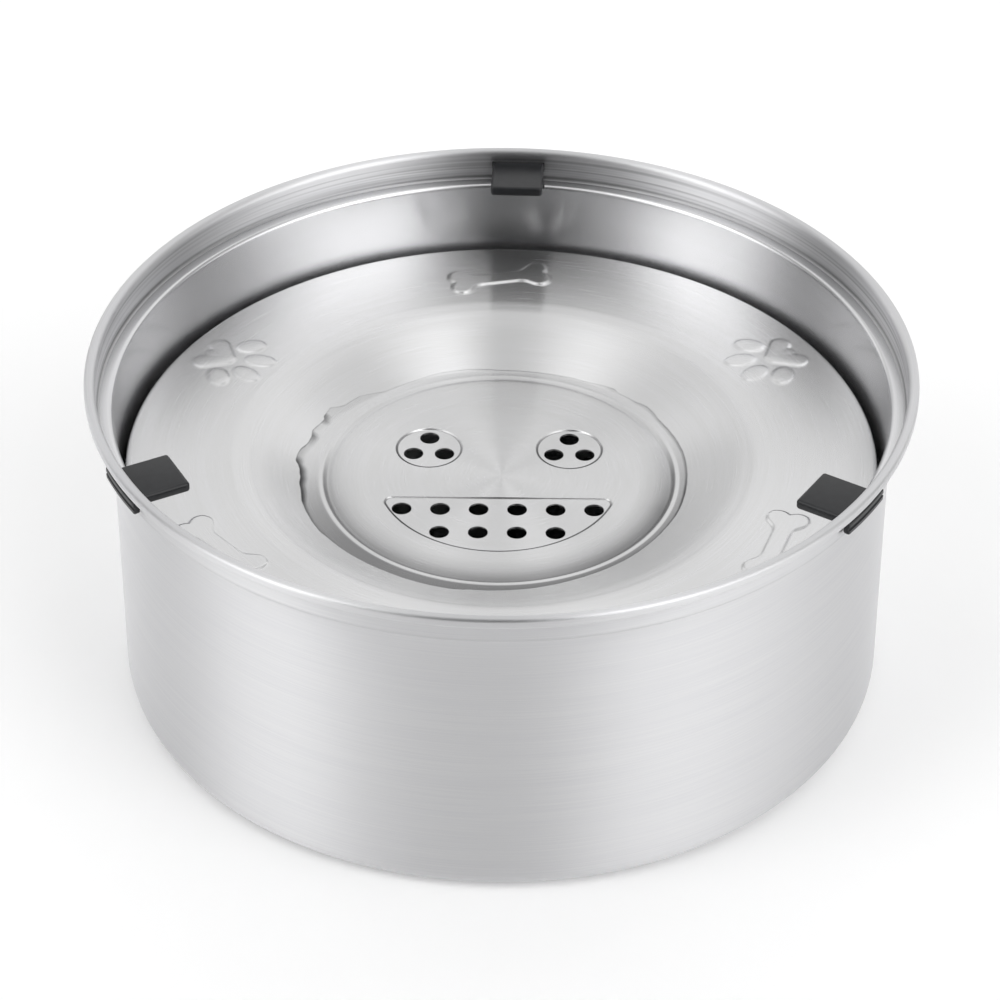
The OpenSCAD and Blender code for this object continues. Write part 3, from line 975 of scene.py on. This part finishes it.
def plate_margin():
    """Rings of the plate outside its flat middle: a gentle rise, a groove, the step, the margin and the lap."""
    foot, crest = RING_R - RISER_IN, RING_R - RISER_OUT
    groove_in = foot - GROOVE_W
    profile = [(FIELD_R + FIELD_OUT, 0.0)]
    rise = groove_in - profile[0][0]
    profile += [(profile[0][0] + rise * k / 8, FIELD_RISE * (k / 8) ** 2) for k in range(1, 9)]
    profile += [(groove_in + GROOVE_W * k / 6, FIELD_RISE - (FIELD_RISE + GROOVE_H) * ramp(k / 6)) for k in range(1, 7)]
    profile += [(foot + (crest - foot) * k / 8, (CREST_H + GROOVE_H) * ramp(k / 8) - GROOVE_H) for k in range(1, 9)]
    turns = plate_turns()
    rings = []
    for r, z in profile:
        share = ramp((r - FIELD_R) / (groove_in - FIELD_R))
        high = [z * (along(RISE_STOPS, math.degrees(a)) if r > foot else 1) for a in turns]
        rings.append([polar(r + share * ring_shift(a), a, plate_z + h) for a, h in zip(turns, high)])
    for k in range(1, MARGIN_ROWS + 1):
        reach = k / MARGIN_ROWS
        high = CREST_H + (LIP_RISE - CREST_H) * reach ** 2 - MARGIN_DIP * math.sin(math.pi * reach)
        ring = []
        for a in turns:
            start = crest + ring_shift(a)
            end = lip_mean(a)
            ring.append(polar(start + (end - start) * reach, a, plate_z + high * along(RISE_STOPS, math.degrees(a))))
        rings.append(ring)
    for k in range(1, LAP_ROWS + 2):
        ring = []
        for a in turns:
            out = (min(lip_edge(a) + LIP_LAP, plate_r - SEAM_GAP) - lip_mean(a)) * min(k, LAP_ROWS) / LAP_ROWS
            place = plate_r if k > LAP_ROWS else lip_mean(a) + out
            ring.append(polar(place, a, plate_z + lip_rise(a) + slope_rate(a) * out))
        rings.append(ring)
    return rings


def make_well_plate():
    """Perforated plate of the well: pressed panels, drain holes, and a margin beyond a pressed step."""
    floor = loops_mesh("strainer_plate", panel_outlines(CREASE[0][0]), 0)
    run_tree(floor, perforate_tree(), hole_size=HOLE_D * MM, pitch=HOLE_PITCH * MM, row_count=ROW_COUNT,
             row_distance=ROW_Y * MM, eye_place=Vector((EYE_X, EYE_Y, 0)) * MM, eye_radius=EYE_R * MM,
             height=(plate_z - PANEL_DEPTH) * MM, material=float_steel)
    circle = [(FIELD_R * math.cos(a), FIELD_R * math.sin(a)) for a in plate_turns()]
    floor.data.transform(panels_set)
    openings = [[(panels_set @ (Vector((x, y, 0)) * MM)).xy / MM for x, y in loop]
                for loop in panel_outlines(CREASE[-1][0])]
    field = loops_mesh("plate_field", [circle, *openings], 0)
    run_tree(field, fill_tree(), height=plate_z * MM, material=float_steel)

    mesh = bmesh.new()
    mesh.from_mesh(floor.data)
    mesh.from_mesh(field.data)
    bpy.data.objects.remove(field)

    tint = mesh.verts.layers.float.new("painted_shade")

    def strip(loops, tints):
        rings = []
        for loop, shades in zip(loops, tints):
            rings.append([mesh.verts.new(p) for p in loop])
            for point, shade in zip(rings[-1], shades):
                point[tint] = shade
        for a, b in zip(rings, rings[1:]):
            for i in range(len(a)):
                k = (i + 1) % len(a)
                mesh.faces.new((a[i], a[k], b[k], b[i]))

    # Painted shade in the crease round each panel, darker on some sides than on others
    even, right, back = CREASE_SHADE
    for panel in range(3):
        loops = [[panels_set @ (Vector((x, y, plate_z + z)) * MM) for x, y in panel_outlines(grow)[panel]]
                 for grow, z, _ in CREASE]
        sides = [(b - a).normalized() for a, b in zip(loops[0][-1:] + loops[0][:-1], loops[0][1:] + loops[0][:1])]
        faced = [min(1.0, even + right * way.x + back * way.y) for way in sides]
        strip(loops, [[share * face for face in faced] for _, _, share in CREASE])
    # Painted shade on the plate's margin
    rings = [[polar(FIELD_R, a, plate_z) for a in plate_turns()], *plate_margin()]
    strip(rings, [[plate_painted_shade(p.xy.length / MM, math.atan2(p.y, p.x)) for p in ring] for ring in rings])
    for point in mesh.verts:
        point[tint] = max(point[tint], PLATE_TINT)
    mesh.to_mesh(floor.data)
    mesh.free()
    clean(floor, 0.002)
    floor.data.materials.clear()
    floor.data.materials.append(float_steel)
    return smooth(thicken(floor, SHEET, -1.0))


# Clips


def clip_tab():
    """Flat tab of a clip, with rounded inner corners and bevelled edges, on the right-hand side."""
    outer = head_r + HEAD_T / 2
    half = TAB_W / 2 - TAB_CORNER
    outline = [(outer, -TAB_W / 2), (outer, TAB_W / 2)]
    outline += arc((tab_in_r + TAB_CORNER, half), TAB_CORNER, 90, 180, 6)
    outline += arc((tab_in_r + TAB_CORNER, -half), TAB_CORNER, 180, 270, 6)
    n = len(outline)
    points = [Vector((x, y, z)) * MM for z in (tab_z, tab_top) for x, y in outline]
    faces = [tuple(reversed(range(n))), tuple(range(n, 2 * n))]
    faces += [(i, (i + 1) % n, n + (i + 1) % n, n + i) for i in range(n)]
    tab = mesh_object("clip_tab", points, faces)
    edge = tab.modifiers.new("edge", "BEVEL")
    edge.width = TAB_EDGE * MM
    edge.segments = 4
    edge.limit_method = "ANGLE"
    edge.angle_limit = math.radians(50)
    return settle(tab)


def clip_head():
    """Curved head of a clip outside the band, with a groove along it and rounded ends, on the right-hand side."""
    r0, r1, z0, z1 = head_r, head_r + HEAD_T, head_z, tab_top
    q = HEAD_ROUND
    middle = (z0 + z1) / 2
    section = arc((r1 - q, z0 + q), q, 270, 360, 4)
    section += arc((r1, middle), HEAD_GROOVE, 270, 90, 8)
    section += arc((r1 - q, z1 - q), q, 0, 90, 4)
    section += arc((r0 + q, z1 - q), q, 90, 180, 4)
    section += arc((r0 + q, z0 + q), q, 180, 270, 4)
    half = math.asin(HEAD_W / 2 / r1)
    centre = ((r0 + r1) / 2, middle)
    end = q / r1
    stations = [(-half + step * end, share) for step, share in HEAD_ENDS]
    stations += [(-half + end + (2 * half - 2 * end) * i / 10, 1.0) for i in range(1, 10)]
    stations += [(half - step * end, share) for step, share in reversed(HEAD_ENDS)]
    points, faces = [], []
    for angle, share in stations:
        for r, z in section:
            points.append(polar(centre[0] + (r - centre[0]) * share, angle, centre[1] + (z - centre[1]) * share))
    n = len(section)
    for j in range(len(stations) - 1):
        for i in range(n):
            k = (i + 1) % n
            faces.append((j * n + i, j * n + k, (j + 1) * n + k, (j + 1) * n + i))
    last = (len(stations) - 1) * n
    faces += [tuple(range(n)), tuple(last + i for i in reversed(range(n)))]
    return clean(mesh_object("clip_head", points, faces))


def make_clip(node, angle):
    """A rubber clip: its tab and head as one moulding, turned to its place on the rim."""
    piece, head = clip_tab(), clip_head()
    clean(piece)
    joint = piece.modifiers.new("moulding", "BOOLEAN")
    joint.operation = "UNION"
    joint.solver = "EXACT"
    joint.object = head
    settle(piece)
    bpy.data.objects.remove(head)
    piece.name = node + "_rubber"
    piece.data.transform(Matrix.Rotation(math.radians(angle), 4, "Z"))
    piece.data.materials.clear()
    piece.data.materials.append(clip_rubber)
    return smooth(piece)


# Stage


FLOOR_HALF = 30.0
FLOOR_LIFT = 0.14

# Studio: soft boxes by degrees from the front to the right, with their levels, how far those on the right lean as
# they come down, their share of light at the floor, the height of full light, and the ceiling
BOX_STOPS = ((-180, 1.08), (-150, 0.68), (-134, 1.25), (-124, 0.85), (-110, 0.35), (-95, 0.55), (-74, 2.25),
             (-57, 2.25), (-37, 0.5), (-20, 0.1), (5, 0.03), (17, 0.45), (33, 2.25), (56, 2.3), (84, 0.66), (108, 0.26),
             (122, 0.8), (134, 1.3), (150, 0.92), (180, 1.08))
BOX_LEAN = -0.085
LEAN_TOP = 0.5
BOX_FOOT = 0.76
BOX_TOP = 0.4
CEILING_WAY = (0, 0.2, 0.98)
CEILING_EDGE = 0.85
CEILING_LEVEL = 0.96


def make_floor():
    """Pale floor that keeps the bowl's shadow and runs into white."""
    half = FLOOR_HALF
    floor = mesh_object("floor", [(-half, -half, 0), (half, -half, 0), (half, half, 0), (-half, half, 0)],
                        [(0, 1, 2, 3)])
    material, tree = new_material("pale_floor")
    ray = add(tree, "ShaderNodeLightPath").outputs
    seen = add(tree, "ShaderNodeMath", {0: ray["Is Camera Ray"], 1: ray["Is Glossy Ray"]},
               operation="MAXIMUM").outputs[0]
    shown = add(tree, "ShaderNodeMath", {0: seen, 1: ray["Is Transmission Ray"]}, operation="MAXIMUM").outputs[0]
    lift = add(tree, "ShaderNodeMath", {0: shown, 1: FLOOR_LIFT}, operation="MULTIPLY").outputs[0]
    matt = add(tree, "ShaderNodeBsdfDiffuse", {"Color": linear("#f6f6f6")}).outputs[0]
    glow = add(tree, "ShaderNodeEmission", {"Strength": lift}).outputs[0]
    surface = add(tree, "ShaderNodeAddShader", {0: matt, 1: glow})
    add(tree, "ShaderNodeOutputMaterial", {"Surface": surface.outputs[0]})
    floor.data.materials.append(material)


def make_world():
    """Studio light: soft boxes on both sides of the camera, darker gaps, and a bright ceiling."""
    world = bpy.data.worlds.new("studio")
    bpy.context.scene.world = world
    world.use_nodes = True
    tree = world.node_tree
    tree.nodes.clear()
    heading = add(tree, "ShaderNodeTexCoord").outputs["Generated"]
    way = add(tree, "ShaderNodeSeparateXYZ", {0: heading})
    front = add(tree, "ShaderNodeMath", {0: way.outputs["Y"], 1: -1.0}, operation="MULTIPLY").outputs[0]
    azimuth = add(tree, "ShaderNodeMath", {0: way.outputs["X"], 1: front}, operation="ARCTAN2").outputs[0]
    turn = add(tree, "ShaderNodeMath", {0: azimuth, 1: 1 / math.tau, 2: 0.5}, operation="MULTIPLY_ADD").outputs[0]
    right = add(tree, "ShaderNodeMath", {0: way.outputs["X"], 1: 0.0}, operation="MAXIMUM").outputs[0]
    low = add(tree, "ShaderNodeMapRange", {"Value": way.outputs["Z"], "From Max": LEAN_TOP, "To Min": BOX_LEAN,
                                           "To Max": 0.0})
    leaning = add(tree, "ShaderNodeMath", {0: right, 1: low.outputs[0], 2: turn}, operation="MULTIPLY_ADD").outputs[0]
    boxes = add(tree, "ShaderNodeValToRGB", {0: leaning})
    points = boxes.color_ramp.elements
    while len(points) < len(BOX_STOPS):
        points.new(0.5)
    for point, (degrees, level) in zip(points, BOX_STOPS):
        point.position = degrees / 360 + 0.5
        point.color = (level, level, level, 1)
    above = add(tree, "ShaderNodeVectorMath", {0: heading, 1: CEILING_WAY}, operation="DOT_PRODUCT").outputs["Value"]
    up = add(tree, "ShaderNodeMapRange", {"Value": above, "From Min": CEILING_EDGE, "From Max": 1.0},
             interpolation_type="SMOOTHSTEP").outputs[0]
    hung = add(tree, "ShaderNodeMapRange", {"Value": way.outputs["Z"], "From Min": 0.0, "From Max": BOX_TOP,
                                            "To Min": BOX_FOOT}, interpolation_type="SMOOTHSTEP").outputs[0]
    sides = add(tree, "ShaderNodeMath", {0: boxes.outputs[0], 1: hung}, operation="MULTIPLY").outputs[0]
    light = add(tree, "ShaderNodeMix", {"Factor": up}, data_type="FLOAT")
    tree.links.new(sides, light.inputs[2])
    light.inputs[3].default_value = CEILING_LEVEL
    sky = add(tree, "ShaderNodeBackground", {"Color": light.outputs[0], "Strength": 1.0})
    add(tree, "ShaderNodeOutputWorld", {"Surface": sky.outputs[0]})


def make_camera():
    """Camera at the photograph's viewpoint."""
    camera = bpy.data.cameras.new("camera")
    camera.sensor_width = SENSOR_MM
    camera.lens = FOCAL_PX * SENSOR_MM / IMAGE_PX
    camera.shift_x = CAMERA_SHIFT
    camera.clip_start = 0.01
    holder = bpy.data.objects.new("camera", camera)
    holder.location = Vector(CAMERA_AT) * MM
    tilt = Matrix.Rotation(math.radians(90 - VIEW_ELEVATION), 4, "X")
    holder.rotation_euler = (tilt @ Matrix.Rotation(math.radians(CAMERA_ROLL), 4, "Z")).to_euler()
    bpy.context.scene.collection.objects.link(holder)
    bpy.context.scene.camera = holder


make_camera()
make_world()
make_floor()
bpy.context.scene.view_settings.view_transform = "Standard"

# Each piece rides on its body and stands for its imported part


def dress(piece, body, node):
    """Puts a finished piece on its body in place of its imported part."""
    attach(piece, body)
    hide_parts(node)


dress(make_bowl(), "bowl", "bowl")
dress(make_base_ring(), "bowl", "base_ring")
dress(make_float_top(), "float", "float_top")
dress(make_float_pan(), "float", "float_pan")
dress(make_well_plate(), "float", "well_plate")
for clip, clip_turn in CLIP_ANGLES.items():
    dress(make_clip(clip, clip_turn), clip, clip)
